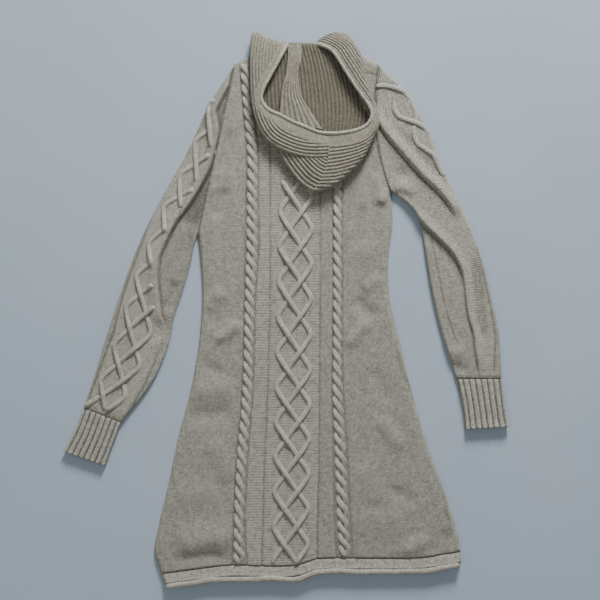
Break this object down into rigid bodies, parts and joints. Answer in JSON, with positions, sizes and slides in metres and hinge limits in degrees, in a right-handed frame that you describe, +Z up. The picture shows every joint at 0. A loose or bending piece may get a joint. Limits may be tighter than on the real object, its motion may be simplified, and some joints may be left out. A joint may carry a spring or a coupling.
{
  "type": "hooded cable-knit sweater dress, laid flat",
  "caption": "Long-sleeved hooded sweater dress in cable knit, flared to a rolled hem, laid flat on its front with the ribbed hood dropped on the back.",
  "frame": {"origin": "under the middle of the laid-out dress, on the surface it lies on", "axes": "+Y from hem to hood, +Z up from the surface, +X to the wearer's right"},
  "size_m": [0.7516, 0.943, 0.0322],
  "materials": {
    "body_knit": "heathered oatmeal knit, stocking stitch with purl grounds, dry and matte",
    "rib_knit": "the same yarn in a deep rib, matte",
    "hem_knit": "the same yarn, a ribbed band that rolls at its edge, matte"
  },
  "bodies": {
    "root": {"front_panel": "body_knit", "back_panel": "body_knit", "sleeve_left": "body_knit", "sleeve_right": "body_knit", "cuff_left": "rib_knit", "cuff_right": "rib_knit", "hem_band_back": "hem_knit", "hem_band_front": "hem_knit", "hem_roll_back": "hem_knit", "hem_roll_front": "hem_knit", "hood": "rib_knit", "hood_edge": "rib_knit"}
  },
  "joints": []
}
